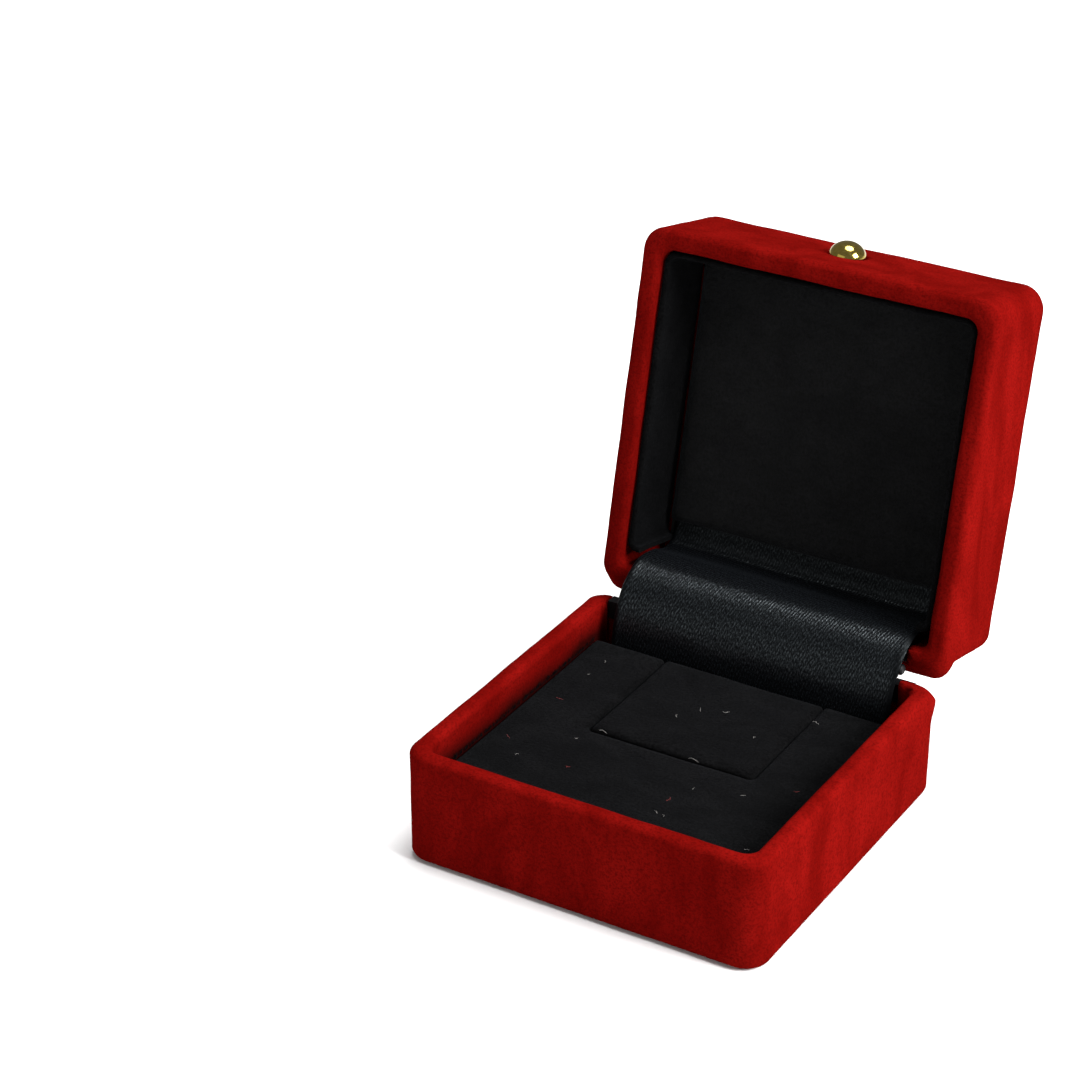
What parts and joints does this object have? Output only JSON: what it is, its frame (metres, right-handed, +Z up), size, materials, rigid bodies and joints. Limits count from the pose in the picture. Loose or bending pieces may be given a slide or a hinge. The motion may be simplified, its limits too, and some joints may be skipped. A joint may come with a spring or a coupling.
{
  "type": "jewelry gift box",
  "caption": "Hinged ring box in red flock with a deep lid, gold foil plate, gold dome stud, black velvet insert and a satin strap over the hinge, standing open.",
  "frame": {"origin": "centre of the flat face under the base", "axes": "+X to the right of somebody looking into the box, -Y to the front, +Z up; the hinge axis is parallel to X at the rear"},
  "size_m": [0.0608, 0.0917, 0.0772],
  "materials": {
    "red_flock": "moulded plastic covered in short red flock",
    "black_velvet": "short-pile black velvet",
    "black_satin": "black satin weave",
    "grey_foam": "open-cell foam, matt",
    "grey_card": "plain grey card",
    "gold_foil": "brushed gold foil",
    "gold_brass": "polished",
    "black_steel": "black oxide, satin"
  },
  "bodies": {
    "root": {"base_shell": "red_flock", "insert_foam_front": "grey_foam", "insert_foam_rear": "grey_foam", "insert_board": "grey_card", "insert_pad": "black_velvet", "hinge_leaf_base": "black_steel", "hinge_pin": "black_steel", "hinge_spring": "black_steel", "hinge_rivet_base_1": "black_steel", "hinge_rivet_base_2": "black_steel", "hinge_rivet_base_3": "black_steel", "hinge_strap": "black_satin"},
    "flap": {"flap_board": "grey_card", "flap_pad": "black_velvet"},
    "lid": {"lid_shell": "red_flock", "lid_lining_wall": "black_velvet", "lid_liner_board": "grey_card", "lid_liner_pad": "black_velvet", "plate_backing": "grey_card", "gold_plate": "gold_foil", "dome_stud": "gold_brass", "hinge_leaf_lid": "black_steel", "hinge_rivet_lid_1": "black_steel", "hinge_rivet_lid_2": "black_steel", "hinge_rivet_lid_3": "black_steel"}
  },
  "joints": [
    {"name": "lid_hinge", "type": "hinge", "parent": "root", "child": "lid", "pos_m": [0, 0.0299, 0.0192], "axis": [1, 0, 0], "range_deg": [0, 103], "deforming": ["hinge_strap"]},
    {"name": "ring_flap_hinge", "type": "hinge", "parent": "root", "child": "flap", "pos_m": [0, 0.0232, 0.0102], "axis": [1, 0, 0], "range_deg": [0, 6], "stiffness_Nm_per_rad": 0.005, "springref_deg": -10}
  ]
}
